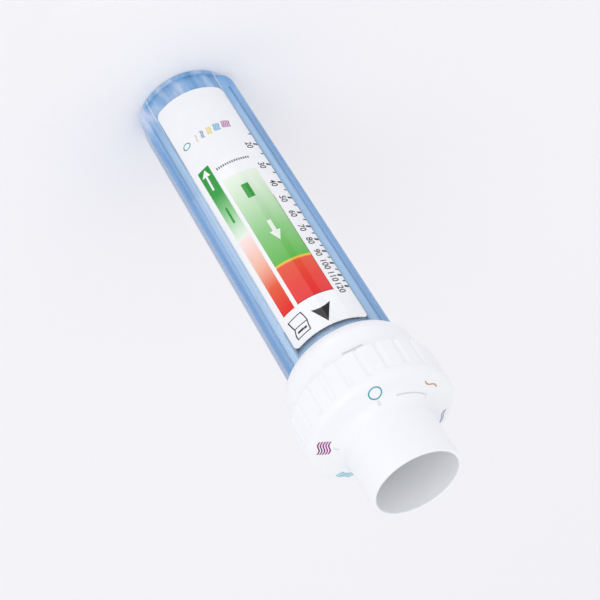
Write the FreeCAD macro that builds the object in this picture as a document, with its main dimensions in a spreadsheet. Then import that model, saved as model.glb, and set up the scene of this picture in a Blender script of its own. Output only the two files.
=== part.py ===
# Inspiratory flow meter, 168 mm long: a clear blue body with a wrap-round scale label, and a
# white dial head that turns to choose one of six inlet resistances.
#
# The meter stands upright on its flat far end. Z runs along the flow axis from that end to the
# mouthpiece, the label faces -Y, and the origin is at the bottom centre. Lengths in millimetres.
import FreeCAD, Part
import math
import os
import Sketcher

PARTS_FOLDER = "parts"

# Dial settings, from the free port to the highest inlet resistance, and each hole's share of
# the port's radius.
HOLE_SHARES = (1.0, 0.82, 0.68, 0.56, 0.46, 0.36)

# Sizes that can be set by themselves: (name, value, what it is).
SIZES = [
    ("body_length", 119.7, "blue body that shows, far end to the collar's lip"),
    ("flange_half_width", 16.8, "half the width over the side bands"),
    ("dome_radius", 16.1, "front dome under the label"),
    ("dome_setback", 3.0, "centre of the front dome behind the flow axis"),
    ("crease_half_width", 12.1, "half the width of the dome at the crease"),
    ("groove_width", 0.6, "fine groove along the middle of each side band"),
    ("groove_depth", 0.35, "fine groove along the middle of each side band"),
    ("side_back", 1.5, "rear edge of the side band behind the flow axis"),
    ("rear_crown", 13.1, "rear crown behind the flow axis"),
    ("shell_wall", 1.5, "wall of both body shells"),
    ("corner_round", 1.2, "rounding of the shoulder into the side band"),
    ("end_corner", 7.0, "rounded flange corners at the far end"),
    ("end_wall", 1.6, "wall of the far end"),
    ("bead_height", 0.9, "bead round the dome at the far end"),
    ("bead_width", 1.5, "bead round the dome at the far end"),
    ("cap_opening", 10.45, "radius of the opening for the inlet cap"),
    ("socket_depth", 4.7, "depth of the body inside the collar"),
    ("label_start", 8.1, "far edge of the label above the far end"),
    ("label_inset", 3.3, "edge of the label below the collar's edge"),
    ("label_half_angle", 45.9, "half the wrap of the label, degrees"),
    ("label_thick", 0.25, "label film"),
    ("label_corner", 2.0, "rounded label corners"),
    ("tube_outer", 9.0, "outer radius of the metering tube"),
    ("tube_wall", 0.8, "wall of the metering tube"),
    ("slot_width", 2.4, "width of the metering slot"),
    ("slot_half_angle", 20.0, "half an inlet slot, degrees"),
    ("stop_length", 12.4, "buffer that ends the piston's travel"),
    ("rod_radius", 1.5, "guide rod"),
    ("running", 0.06, "radial running clearance"),
    ("rest_gap", 0.05, "gap between pieces that meet at the end of a travel"),
    ("cap_floor", 2.5, "thickness of the inlet cap's grille"),
    ("cap_recess", 0.5, "inlet grille above the surface the meter stands on"),
    ("cap_flange", 1.0, "width of the inlet cap's flange behind the end wall"),
    ("cap_socket", 5.0, "depth of the socket for the metering tube"),
    ("spider_height", 3.0, "height of the rod supports"),
    ("spider_rim", 0.9, "rim of the rod supports"),
    ("spider_arm", 1.4, "width of a support's arm"),
    ("hub_radius", 4.6, "hub of the rod supports"),
    ("buffer_height", 1.5, "zero buffer"),
    ("buffer_radius", 3.0, "outer radius of both buffers"),
    ("bush_wall", 1.3, "wall of the piston bush"),
    ("bush_length", 10.0, "length of the piston bush"),
    ("vane_thick", 1.2, "web of the piston vane"),
    ("skirt_length", 5.0, "skirt of the piston vane"),
    ("skirt_wall", 0.7, "wall of the skirt"),
    ("driver_width", 1.8, "width of the driver that passes through the slot"),
    ("driver_height", 2.0, "height of the driver"),
    ("spring_radius", 3.7, "mean radius of the return spring"),
    ("spring_wire", 0.3, "radius of the spring wire"),
    ("spring_turns", 10.0, "turns of the return spring"),
    ("cursor_wall", 0.85, "wall of the cursor ring"),
    ("cursor_length", 3.0, "length of the cursor ring"),
    ("keeper_length", 0.8, "soft iron band on the cursor"),
    ("weight_wall", 1.2, "wall of the reset weight"),
    ("weight_length", 10.0, "length of the steel sleeve of the reset weight"),
    ("magnet_length", 2.8, "length of the ring magnet"),
    ("parking_length", 1.0, "length of the parking ring"),
    ("parking_inset", 1.7, "parking ring below the collar's edge"),
    ("rail_thick", 1.2, "thickness of the side rails that guide the weight"),
    ("lip_wall", 0.8, "collar's lip on the crown of the body"),
    ("flare_width", 4.7, "width of the collar's cone beyond its lip"),
    ("flare_rise", 2.9, "height of the collar's cone"),
    ("bell_rise", 5.6, "height of the collar's curve beyond the cone"),
    ("bell_radius", 8.0, "curve of the collar beyond the cone"),
    ("collar_floor", 2.0, "web of the collar that holds the metering tube"),
    ("collar_height", 14.3, "height of the collar from its lip to the dial"),
    ("collar_inset", 2.0, "collar's round end inside the dial's outline"),
    ("index_width", 7.0, "index rib on the collar"),
    ("index_height", 1.2, "index rib along the axis"),
    ("index_rise", 0.8, "index rib out of the collar"),
    ("plate_inset", 1.7, "port plate inside the aperture disc's edge"),
    ("plate_seat", 2.0, "collar's rim under the port plate"),
    ("plate_thick", 2.0, "port plate"),
    ("spigot_wall", 1.0, "locating ring of the port plate"),
    ("spigot_depth", 2.0, "locating ring of the port plate"),
    ("post_radius", 2.5, "post that the dial turns on"),
    ("post_above", 2.8, "post beyond the aperture disc"),
    ("clip_thick", 0.7, "both retaining clips"),
    ("clip_depth", 0.5, "depth of the clip groove in the post"),
    ("pitch_radius", 10.5, "circle on which the graded holes lie"),
    ("hole_pitch", 57.5, "angle from one dial setting to the next, degrees"),
    ("port_radius", 4.4, "port in the plate"),
    ("seal_wall", 1.0, "port seal"),
    ("seal_depth", 0.6, "groove of the port seal"),
    ("disc_gap", 0.4, "gap between port plate and aperture disc"),
    ("disc_thick", 2.5, "aperture disc"),
    ("disc_inset", 1.6, "aperture disc's edge inside the dial's skirt"),
    ("pit_inset", 2.0, "detent pits inside the aperture disc's edge"),
    ("pit_radius", 1.1, "ball cutter of the detent pits"),
    ("pit_depth", 0.65, "detent pits"),
    ("leaf_width", 2.4, "detent leaf"),
    ("leaf_length", 11.0, "detent leaf"),
    ("leaf_thick", 0.25, "detent leaf"),
    ("nose_radius", 0.7, "nose of the detent leaf"),
    ("dial_gap", 0.6, "gap between collar and dial"),
    ("dial_radius", 23.0, "outside of the dial"),
    ("dial_wall", 2.2, "skirt of the dial"),
    ("dial_length", 11.95, "barrel of the dial"),
    ("dial_seat", 1.0, "shoulder that carries the aperture disc"),
    ("face_slope", 18.0, "slope of the bell-shaped face, degrees"),
    ("shoulder_round", 2.2, "rounding of the dial's front edge"),
    ("bell_round", 5.0, "hollow fillet from the face to the mouthpiece"),
    ("root_radius", 14.5, "mouthpiece where it leaves the face"),
    ("mouthpiece_length", 18.69, "mouthpiece above the face"),
    ("spigot_radius", 14.0, "mouthpiece outside"),
    ("spigot_length", 12.0, "straight end of the mouthpiece"),
    ("mouth_radius", 12.75, "mouthpiece bore"),
    ("mouth_depth", 19.5, "straight bore of the mouthpiece"),
    ("cavity_round", 7.0, "length of the cone that leads into the bore"),
    ("rim_round", 0.4, "rounded mouthpiece rim"),
    ("grip_count", 24.0, "grip flutes round the dial"),
    ("grip_radius", 1.5, "radius of a grip flute"),
    ("grip_depth", 0.5, "depth of a grip flute"),
    ("lug_clear", 1.1, "stop lug outside the port plate"),
    ("lug_half_angle", 20.0, "half the dial's stop lug, degrees"),
    ("stop_play", 0.35, "angle left at each end stop, degrees"),
    ("stop_clear", 0.4, "fixed stop inside the dial's skirt"),
]

document = FreeCAD.newDocument("inspiratory_flow_meter")
table = document.addObject("Spreadsheet::Sheet", "Sizes")


class Size:
    """A number together with the formula that ties it to the table of sizes."""

    def __init__(self, number, formula):
        self.number = number
        self.formula = formula

    def __add__(self, other):
        other = as_size(other)
        return Size(self.number + other.number, f"({self.formula} + {other.formula})")

    def __sub__(self, other):
        other = as_size(other)
        return Size(self.number - other.number, f"({self.formula} - {other.formula})")

    def __mul__(self, other):
        other = as_size(other)
        return Size(self.number * other.number, f"({self.formula} * {other.formula})")

    def __truediv__(self, other):
        other = as_size(other)
        return Size(self.number / other.number, f"({self.formula} / {other.formula})")

    def __neg__(self):
        return Size(-self.number, f"(0 - {self.formula})")

    def root(self):
        return Size(math.sqrt(self.number), f"sqrt({self.formula})")

    def sine(self):
        return Size(math.sin(math.radians(self.number)), f"sin({self.formula} * 1deg)")

    def cosine(self):
        return Size(math.cos(math.radians(self.number)), f"cos({self.formula} * 1deg)")


def as_size(value):
    """Plain numbers, such as a factor of two, become sizes that are tied to nothing."""
    return value if isinstance(value, Size) else Size(float(value), repr(float(value)))


def fill_table():
    """Write the sizes into the sheet and return them by name."""
    sizes = {}
    for row, (name, value, meaning) in enumerate(SIZES, start=1):
        table.set(f"A{row}", meaning)
        table.set(f"B{row}", str(value))
        table.setAlias(f"B{row}", name)
    document.recompute()
    for name, _, _ in SIZES:
        sizes[name] = Size(float(table.get(name)), f"Sizes.{name}")
    return sizes


S = fill_table()
ZERO = as_size(0)


# Drawing helpers
def new_body(name):
    body = document.addObject("PartDesign::Body", name)
    body.Label = name
    return body


def origin_plane(body, role):
    return next(plane for plane in body.Origin.OriginFeatures if plane.Role == role)


def new_sketch(body, name, role="XY_Plane", offset=ZERO):
    """A sketch on one of the body's own planes, moved along the plane's normal."""
    sketch = body.newObject("Sketcher::SketchObject", name)
    sketch.AttachmentSupport = [(origin_plane(body, role), "")]
    sketch.MapMode = "FlatFace"
    sketch.setExpression("AttachmentOffset.Base.z", offset.formula)
    return sketch


def bind(sketch, constraint, size):
    index = sketch.addConstraint(constraint)
    sketch.setExpression(f"Constraints[{index}]", size.formula)


def lock_point(sketch, edge, end, x, y):
    bind(sketch, Sketcher.Constraint("DistanceX", edge, end, x.number), x)
    bind(sketch, Sketcher.Constraint("DistanceY", edge, end, y.number), y)


def arc_between(first, second, radius):
    """The centre of an arc from first to second, left of the way there if radius is positive."""
    (x1, y1), (x2, y2) = first, second
    chord = math.hypot(x2 - x1, y2 - y1)
    rise = math.sqrt(max(radius ** 2 - chord ** 2 / 4, 0.0)) * (1 if radius > 0 else -1)
    return (x1 + x2) / 2 - (y2 - y1) / chord * rise, (y1 + y2) / 2 + (x2 - x1) / chord * rise


def draw_loop(sketch, corners):
    """A closed outline. A corner is (x, y), or (x, y, radius) where an arc starts there.

    A positive radius has its centre on the left of the way round, a negative one on the right.
    """
    points = [(corner[0].number, corner[1].number) for corner in corners]
    edges = []
    for i, corner in enumerate(corners):
        start, end = points[i], points[(i + 1) % len(points)]
        if len(corner) == 2:
            line = Part.LineSegment(FreeCAD.Vector(*start, 0), FreeCAD.Vector(*end, 0))
            edges.append((sketch.addGeometry(line, False), 1, 2))
            continue
        radius = corner[2].number
        centre = arc_between(start, end, radius)
        angles = [math.atan2(y - centre[1], x - centre[0]) for x, y in (start, end)]
        if radius < 0:
            angles.reverse()
        if angles[1] < angles[0]:
            angles[1] += 2 * math.pi
        circle = Part.Circle(FreeCAD.Vector(*centre, 0), FreeCAD.Vector(0, 0, 1), abs(radius))
        arc = sketch.addGeometry(Part.ArcOfCircle(circle, angles[0], angles[1]), False)
        edges.append((arc, 1, 2) if radius > 0 else (arc, 2, 1))
        size = corner[2] if radius > 0 else -corner[2]
        bind(sketch, Sketcher.Constraint("Radius", arc, size.number), size)
    for i, (edge, start, end) in enumerate(edges):
        following, following_start, _ = edges[(i + 1) % len(edges)]
        sketch.addConstraint(
            Sketcher.Constraint("Coincident", edge, end, following, following_start))
        lock_point(sketch, edge, start, corners[i][0], corners[i][1])


def draw_circle(sketch, x, y, radius):
    place = FreeCAD.Vector(x.number, y.number, 0)
    edge = sketch.addGeometry(Part.Circle(place, FreeCAD.Vector(0, 0, 1), radius.number), False)
    lock_point(sketch, edge, 3, x, y)
    bind(sketch, Sketcher.Constraint("Radius", edge, radius.number), radius)


def revolve(body, name, corners):
    """Turn an (r, z) outline about the flow axis."""
    sketch = new_sketch(body, name + "_profile", "XZ_Plane")
    draw_loop(sketch, corners)
    feature = body.newObject("PartDesign::Revolution", name)
    feature.Profile = sketch
    feature.ReferenceAxis = (sketch, ["V_Axis"])
    feature.Angle = 360
    return feature


def rise_from(body, name, sketch, height):
    """Pad a sketch towards the mouthpiece."""
    feature = body.newObject("PartDesign::Pad", name)
    feature.Profile = sketch
    feature.setExpression("Length", height.formula)
    return feature


def cut_up(body, name, sketch, height):
    """Pocket a sketch towards the mouthpiece."""
    feature = body.newObject("PartDesign::Pocket", name)
    feature.Profile = sketch
    feature.Reversed = True
    feature.setExpression("Length", height.formula)
    return feature


def pattern_round(body, name, feature, count, whole_angle=None):
    """Repeat a feature about the flow axis, full circle unless an angle is given."""
    sketch = feature.Profile[0]
    pattern = body.newObject("PartDesign::PolarPattern", name)
    pattern.Originals = [feature]
    pattern.Axis = (sketch, ["N_Axis"])
    if whole_angle is None:
        pattern.Angle = 360
    else:
        pattern.setExpression("Angle", whole_angle.formula)
    if isinstance(count, Size):
        pattern.setExpression("Occurrences", count.formula)
    else:
        pattern.Occurrences = count
    body.Tip = pattern
    return pattern


def ring_edges(shape, radius, height):
    """Names of the circular edges about the flow axis at this radius and height."""
    names = []
    for index, edge in enumerate(shape.Edges, start=1):
        box = edge.BoundBox
        level = abs(box.ZMin - height.number) < 0.01 and abs(box.ZMax - height.number) < 0.01
        if level and abs(box.XMax - radius.number) < 0.01 and abs(box.XMin + radius.number) < 0.01:
            names.append(f"Edge{index}")
    return names


def round_ring(body, name, radius, height, size):
    """Fillet the circular edge at this radius and height."""
    document.recompute()
    base = body.Tip
    feature = body.newObject("PartDesign::Fillet", name)
    feature.Base = (base, ring_edges(base.Shape, radius, height))
    feature.setExpression("Radius", size.formula)
    return feature


def on_circle(radius, angle):
    """A point round the flow axis; the angle is in degrees from +X towards +Y."""
    return radius * angle.cosine(), radius * angle.sine()


def sector(inner, outer, start, end):
    """Corners of a ring sector from the start angle to the end angle."""
    first, second = on_circle(outer, start), on_circle(outer, end)
    third, fourth = on_circle(inner, end), on_circle(inner, start)
    return [first + (outer,), second, third + (-inner,), fourth]


def tube_profile(inner, outer, bottom, top):
    return [(inner, bottom), (outer, bottom), (outer, top), (inner, top)]


def plain_ring(name, inner, outer, bottom, top):
    """A turned ring, such as a buffer or a magnet."""
    body = new_body(name)
    revolve(body, "ring", tube_profile(inner, outer, bottom, top))
    return body


# Places that several pieces share
CAP_TOP = S["cap_recess"] + S["cap_floor"]
TUBE_BORE = S["tube_outer"] - S["tube_wall"]
SPIDER_TOP = CAP_TOP + S["spider_height"]
PISTON_BOTTOM = SPIDER_TOP + S["buffer_height"] + S["rest_gap"]
VANE_BOTTOM = PISTON_BOTTOM + S["vane_thick"]
VANE_TOP = VANE_BOTTOM + S["vane_thick"]
DRIVER_TOP = VANE_BOTTOM + S["driver_height"]
BUSH_TOP = PISTON_BOTTOM + S["bush_length"]
CURSOR_BOTTOM = DRIVER_TOP + S["rest_gap"]
CURSOR_OUTER = S["tube_outer"] + S["running"] + S["cursor_wall"]
SHELL_TOP = S["body_length"] + S["socket_depth"]
WEB_TOP = SHELL_TOP + S["collar_floor"]
OUTLET_BOTTOM = WEB_TOP - S["spider_height"] * 2
OUTLET_TOP = OUTLET_BOTTOM + S["spider_height"]
STOP_BOTTOM = OUTLET_BOTTOM - S["stop_length"]
STROKE = STOP_BOTTOM - S["rest_gap"] - BUSH_TOP
WEIGHT_INNER = CURSOR_OUTER + S["running"] * 2
WEIGHT_OUTER = WEIGHT_INNER + S["weight_wall"]
LABEL_END = S["body_length"] - S["label_inset"]
PARKING_TOP = S["body_length"] - S["parking_inset"]
PARKING_BOTTOM = PARKING_TOP - S["parking_length"]
WEIGHT_TOP = PARKING_BOTTOM - S["rest_gap"]
SLEEVE_TOP = WEIGHT_TOP - S["magnet_length"]
WEIGHT_BOTTOM = SLEEVE_TOP - S["weight_length"]
COLLAR_RADIUS = S["dial_radius"] - S["collar_inset"]
COLLAR_TOP = S["body_length"] + S["collar_height"]
PLATE_TOP = COLLAR_TOP + S["plate_thick"]
DISC_BOTTOM = PLATE_TOP + S["disc_gap"]
DISC_TOP = DISC_BOTTOM + S["disc_thick"]
DIAL_BOTTOM = COLLAR_TOP + S["dial_gap"]
SKIRT_INNER = S["dial_radius"] - S["dial_wall"]
DISC_RADIUS = SKIRT_INNER - S["disc_inset"]
DETENT_CIRCLE = DISC_RADIUS - S["pit_inset"]
PLATE_RADIUS = DISC_RADIUS - S["plate_inset"]
PLENUM_RADIUS = PLATE_RADIUS - S["plate_seat"]
WHOLE_TURN = as_size(360)
DIAL_RANGE = S["hole_pitch"] * (len(HOLE_SHARES) - 1)
FIXED_STOP_HALF = (WHOLE_TURN - DIAL_RANGE) / 2 - S["lug_half_angle"] - S["stop_play"]
FRONT = WHOLE_TURN * 3 / 4
REAR = WHOLE_TURN / 4


# Outline of the body
CREASE = S["crease_half_width"]
FLANGE_FRONT = S["dome_setback"] - (S["dome_radius"] * S["dome_radius"] - CREASE * CREASE).root()


def front_outline(offset, corner):
    """Corners of the front half, from the left seam round the label to the right seam."""
    radius = S["dome_radius"] + offset
    shoulder = FLANGE_FRONT - offset
    reach = S["dome_setback"] - shoulder
    edge = (radius * radius - reach * reach).root()
    side = S["flange_half_width"] + offset
    if corner is None:
        return [(-side, ZERO), (-side, shoulder), (-edge, shoulder, radius), (edge, shoulder),
                (side, shoulder), (side, ZERO)]
    return [(-side, ZERO), (-side, shoulder + corner, corner), (-side + corner, shoulder),
            (-edge, shoulder, radius), (edge, shoulder), (side - corner, shoulder, corner),
            (side, shoulder + corner), (side, ZERO)]


def rear_outline(offset):
    """Corners of the rear half, from the right seam round the back to the left seam."""
    width = S["flange_half_width"]
    rise = S["rear_crown"] - S["side_back"]
    plain_radius = (width * width + rise * rise) / (rise * 2)
    centre = S["rear_crown"] - plain_radius
    radius, side = plain_radius + offset, width + offset
    back = centre + (radius * radius - side * side).root()
    return [(side, ZERO), (side, back, radius), (-side, back), (-side, ZERO)]


def shell(name, outer, inner):
    """Half of the clear body: its outline, the hollow above the end wall, and the end opening."""
    body = new_body(name)
    sketch = new_sketch(body, "outline")
    draw_loop(sketch, outer)
    rise_from(body, "solid", sketch, SHELL_TOP)
    hollow = new_sketch(body, "hollow_outline", offset=S["end_wall"])
    draw_loop(hollow, inner)
    cut_up(body, "hollow", hollow, SHELL_TOP)
    opening = new_sketch(body, "opening_outline")
    draw_circle(opening, ZERO, ZERO, S["cap_opening"])
    cut_up(body, "opening", opening, S["end_wall"])
    for side, label in ((1, "right"), (-1, "left")):
        corner = new_sketch(body, label + "_corner", "XZ_Plane")
        edge = S["flange_half_width"] * side
        inset = edge - S["end_corner"] * side
        round_size = S["end_corner"] * side
        draw_loop(corner, [(inset, ZERO, round_size), (edge, S["end_corner"]), (edge, ZERO)])
        cut = body.newObject("PartDesign::Pocket", label + "_corner_cut")
        cut.Profile = corner
        cut.Midplane = True
        cut.setExpression("Length", (S["rear_crown"] * 4).formula)
    return body


def make_front_shell():
    """The front shell has a bead round its far end and a fine groove along each side band."""
    body = shell("front_shell", front_outline(ZERO, S["corner_round"]),
                 front_outline(-S["shell_wall"], None))
    lines = new_sketch(body, "groove_outline", offset=S["label_start"])
    near = (CREASE + S["flange_half_width"] - S["groove_width"]) / 2
    far = near + S["groove_width"]
    outside, bottom = FLANGE_FRONT - S["groove_depth"], FLANGE_FRONT + S["groove_depth"]
    for side in (1, -1):
        draw_loop(lines, [(near * side, outside), (far * side, outside),
                          (far * side, bottom), (near * side, bottom)])
    cut_up(body, "band_grooves", lines, SHELL_TOP - S["label_start"])
    bead = new_sketch(body, "bead_outline")
    reach = S["dome_setback"] - FLANGE_FRONT
    outer = S["dome_radius"] + S["bead_height"]
    inner = S["dome_radius"] - S["shell_wall"] / 2
    outer_edge = (outer * outer - reach * reach).root()
    inner_edge = (inner * inner - reach * reach).root()
    draw_loop(bead, [(-outer_edge, FLANGE_FRONT, outer), (outer_edge, FLANGE_FRONT),
                     (inner_edge, FLANGE_FRONT, -inner), (-inner_edge, FLANGE_FRONT)])
    rise_from(body, "end_bead", bead, S["bead_width"])
    return body


def make_rear_shell():
    """The rear shell also carries the two side rails that guide the reset weight."""
    body = shell("rear_shell", rear_outline(ZERO), rear_outline(-S["shell_wall"]))
    rails = new_sketch(body, "rail_outline", offset=S["label_start"])
    near = WEIGHT_OUTER + S["running"] * 2
    far = S["flange_half_width"] - S["shell_wall"] / 2
    for side in (1, -1):
        draw_loop(rails, [(near * side, ZERO), (far * side, ZERO),
                          (far * side, S["rail_thick"]), (near * side, S["rail_thick"])])
    rise_from(body, "rails", rails, LABEL_END - S["label_start"])
    return body


def make_scale_label():
    """Printed film wrapped on the front dome."""
    body = new_body("scale_label")
    sketch = new_sketch(body, "wrap", offset=S["label_start"])
    inner = S["dome_radius"]
    outer = inner + S["label_thick"]
    angle = S["label_half_angle"]
    draw_loop(sketch, [
        (-(outer * angle.sine()), S["dome_setback"] - outer * angle.cosine(), outer),
        (outer * angle.sine(), S["dome_setback"] - outer * angle.cosine()),
        (inner * angle.sine(), S["dome_setback"] - inner * angle.cosine(), -inner),
        (-(inner * angle.sine()), S["dome_setback"] - inner * angle.cosine())])
    rise_from(body, "film", sketch, LABEL_END - S["label_start"])
    document.recompute()
    film = body.Tip
    thickness = S["label_thick"].number
    corners = [f"Edge{i}" for i, edge in enumerate(film.Shape.Edges, start=1)
               if abs(edge.Length - thickness) < 0.01]
    fillet = body.newObject("PartDesign::Fillet", "rounded_corners")
    fillet.Base = (film, corners)
    fillet.setExpression("Radius", S["label_corner"].formula)
    return body


# Inlet, metering tube and guide rod
def make_inlet_cap():
    """Slotted grille at the far end, with the socket for the metering tube."""
    body = new_body("inlet_cap")
    rim = S["cap_opening"] - S["rest_gap"]
    flange = rim + S["cap_flange"]
    socket_top = CAP_TOP + S["cap_socket"]
    revolve(body, "disc", [
        (ZERO, S["cap_recess"]), (rim, S["cap_recess"]), (rim, S["end_wall"]),
        (flange, S["end_wall"]), (flange, CAP_TOP), (rim, CAP_TOP), (rim, socket_top),
        (S["tube_outer"], socket_top), (S["tube_outer"], CAP_TOP), (ZERO, CAP_TOP)])
    sketch = new_sketch(body, "slot_outline", offset=S["cap_recess"])
    inner = S["hub_radius"] - S["spider_rim"]
    outer = TUBE_BORE - S["spider_rim"]
    draw_loop(sketch, sector(inner, outer, -S["slot_half_angle"], S["slot_half_angle"]))
    slot = cut_up(body, "inlet_slot", sketch, S["cap_floor"])
    pattern_round(body, "inlet_slots", slot, 6)
    return body


def make_metering_tube():
    """Clear tube with the long slot that the driver runs in."""
    body = new_body("metering_tube")
    revolve(body, "tube", tube_profile(TUBE_BORE, S["tube_outer"], CAP_TOP, WEB_TOP))
    sketch = new_sketch(body, "slot_outline", "YZ_Plane")
    bottom = VANE_BOTTOM - S["running"] * 4
    top = DRIVER_TOP + STROKE + S["running"] * 4
    half = S["slot_width"] / 2
    draw_loop(sketch, [(-half, bottom), (half, bottom), (half, top), (-half, top)])
    slot = body.newObject("PartDesign::Pocket", "metering_slot")
    slot.Profile = sketch
    slot.setExpression("Length", (S["tube_outer"] * 2).formula)
    return body


def make_guide_rod():
    body = new_body("guide_rod")
    radius = S["rod_radius"]
    groove = radius - S["clip_depth"] / 2
    groove_top = OUTLET_TOP + S["clip_thick"]
    revolve(body, "rod", [
        (ZERO, CAP_TOP), (radius, CAP_TOP), (radius, OUTLET_TOP), (groove, OUTLET_TOP),
        (groove, groove_top), (radius, groove_top), (radius, WEB_TOP), (ZERO, WEB_TOP)])
    return body


def spider(name, bottom):
    """Three-armed support that centres the rod in the metering tube."""
    body = new_body(name)
    rim = new_sketch(body, "rim_outline", offset=bottom)
    draw_circle(rim, ZERO, ZERO, TUBE_BORE)
    draw_circle(rim, ZERO, ZERO, TUBE_BORE - S["spider_rim"])
    rise_from(body, "rim", rim, S["spider_height"])
    arm = new_sketch(body, "arm_outline", offset=bottom)
    half = S["spider_arm"] / 2
    near = S["hub_radius"] - S["spider_rim"]
    far = TUBE_BORE - S["spider_rim"] / 2
    draw_loop(arm, [(near, -half), (far, -half), (far, half), (near, half)])
    one_arm = rise_from(body, "arm", arm, S["spider_height"])
    pattern_round(body, "arms", one_arm, 3)
    hub = new_sketch(body, "hub_outline", offset=bottom)
    draw_circle(hub, ZERO, ZERO, S["hub_radius"])
    rise_from(body, "hub", hub, S["spider_height"])
    bore = new_sketch(body, "bore_outline", offset=bottom)
    draw_circle(bore, ZERO, ZERO, S["rod_radius"])
    cut_up(body, "bore", bore, S["spider_height"])
    return body


def open_clip(name, groove, outer, bottom):
    """Open retaining clip that snaps into a groove."""
    body = plain_ring(name, groove, outer, bottom, bottom + S["clip_thick"])
    sketch = new_sketch(body, "mouth_outline", offset=bottom)
    draw_loop(sketch, [(ZERO, -groove), (outer * 2, -groove), (outer * 2, groove), (ZERO, groove)])
    cut_up(body, "mouth", sketch, S["clip_thick"])
    return body


# Piston and return spring
def make_piston_bush():
    body = new_body("piston_bush")
    bore = S["rod_radius"] + S["running"]
    outer = bore + S["bush_wall"]
    revolve(body, "bush", [
        (bore, PISTON_BOTTOM), (outer + S["bush_wall"], PISTON_BOTTOM),
        (outer + S["bush_wall"], VANE_BOTTOM), (outer, VANE_BOTTOM),
        (outer, BUSH_TOP), (bore, BUSH_TOP)])
    return body


def make_piston_vane():
    """Light vane with a skirt, and the driver that reaches through the slot."""
    body = new_body("piston_vane")
    bush = S["rod_radius"] + S["running"] + S["bush_wall"]
    edge = TUBE_BORE - S["running"]
    skirt = edge - S["skirt_wall"]
    skirt_top = VANE_BOTTOM + S["skirt_length"]
    revolve(body, "web", [
        (bush, VANE_BOTTOM), (edge, VANE_BOTTOM), (edge, skirt_top), (skirt, skirt_top),
        (skirt, VANE_TOP), (bush, VANE_TOP)])
    sketch = new_sketch(body, "driver_outline", offset=VANE_BOTTOM)
    half = S["driver_width"] / 2
    near = edge - S["skirt_wall"] / 2
    draw_loop(sketch, [(-CURSOR_OUTER, -half), (-near, -half), (-near, half),
                       (-CURSOR_OUTER, half)])
    rise_from(body, "driver", sketch, S["driver_height"])
    return body


def make_return_spring():
    """Coil spring between the vane and the outlet support."""
    lift = VANE_TOP + S["spring_wire"]
    height = OUTLET_BOTTOM - VANE_TOP - S["spring_wire"] * 2
    coil = document.addObject("Part::Helix", "spring_line")
    coil.setExpression("Radius", S["spring_radius"].formula)
    coil.setExpression("Height", height.formula)
    coil.setExpression("Pitch", (height / S["spring_turns"]).formula)
    coil.setExpression("Placement.Base.z", lift.formula)
    wire = document.addObject("Part::RegularPolygon", "spring_section")
    wire.Polygon = 6
    wire.setExpression("Circumradius", S["spring_wire"].formula)
    wire.Placement.Rotation = FreeCAD.Rotation(FreeCAD.Vector(1, 0, 0), 90)
    wire.setExpression("Placement.Base.x", S["spring_radius"].formula)
    wire.setExpression("Placement.Base.z", lift.formula)
    spring = document.addObject("Part::Sweep", "return_spring")
    spring.Sections = [wire]
    spring.Spine = (coil, ["Edge1"])
    spring.Solid = True
    spring.Frenet = True
    spring.Label = "return_spring"
    return spring


# Collar
def make_neck_collar():
    """White moulding that slips over the body's end and flares to a round neck for the dial."""
    body = new_body("neck_collar")
    lip = S["rear_crown"] + S["lip_wall"]
    lip_height = S["body_length"]
    cone_height = lip_height + S["flare_rise"]
    revolve(body, "neck", [
        (ZERO, lip_height), (lip, lip_height),
        (lip + S["flare_width"], cone_height, S["bell_radius"]),
        (COLLAR_RADIUS, cone_height + S["bell_rise"]), (COLLAR_RADIUS, COLLAR_TOP),
        (ZERO, COLLAR_TOP)])
    socket = new_sketch(body, "socket_outline", offset=S["body_length"])
    draw_loop(socket, front_outline(ZERO, S["corner_round"])[:-1] + rear_outline(ZERO)[:-1])
    cut_up(body, "socket", socket, S["socket_depth"])
    bore = new_sketch(body, "bore_outline", offset=S["body_length"])
    draw_circle(bore, ZERO, ZERO, S["tube_outer"])
    cut_up(body, "bore", bore, S["collar_height"])
    plenum = new_sketch(body, "plenum_outline", offset=WEB_TOP)
    draw_circle(plenum, ZERO, ZERO, PLENUM_RADIUS)
    cut_up(body, "plenum", plenum, S["collar_height"])
    index = new_sketch(body, "index_outline", offset=COLLAR_TOP - S["index_height"])
    half = S["index_width"] / 2
    back = PLENUM_RADIUS + S["lip_wall"]
    front = COLLAR_RADIUS + S["index_rise"]
    draw_loop(index, [(-half, -front), (half, -front), (half, -back), (-half, -back)])
    rise_from(body, "index_rib", index, S["index_height"])
    return body


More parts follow.
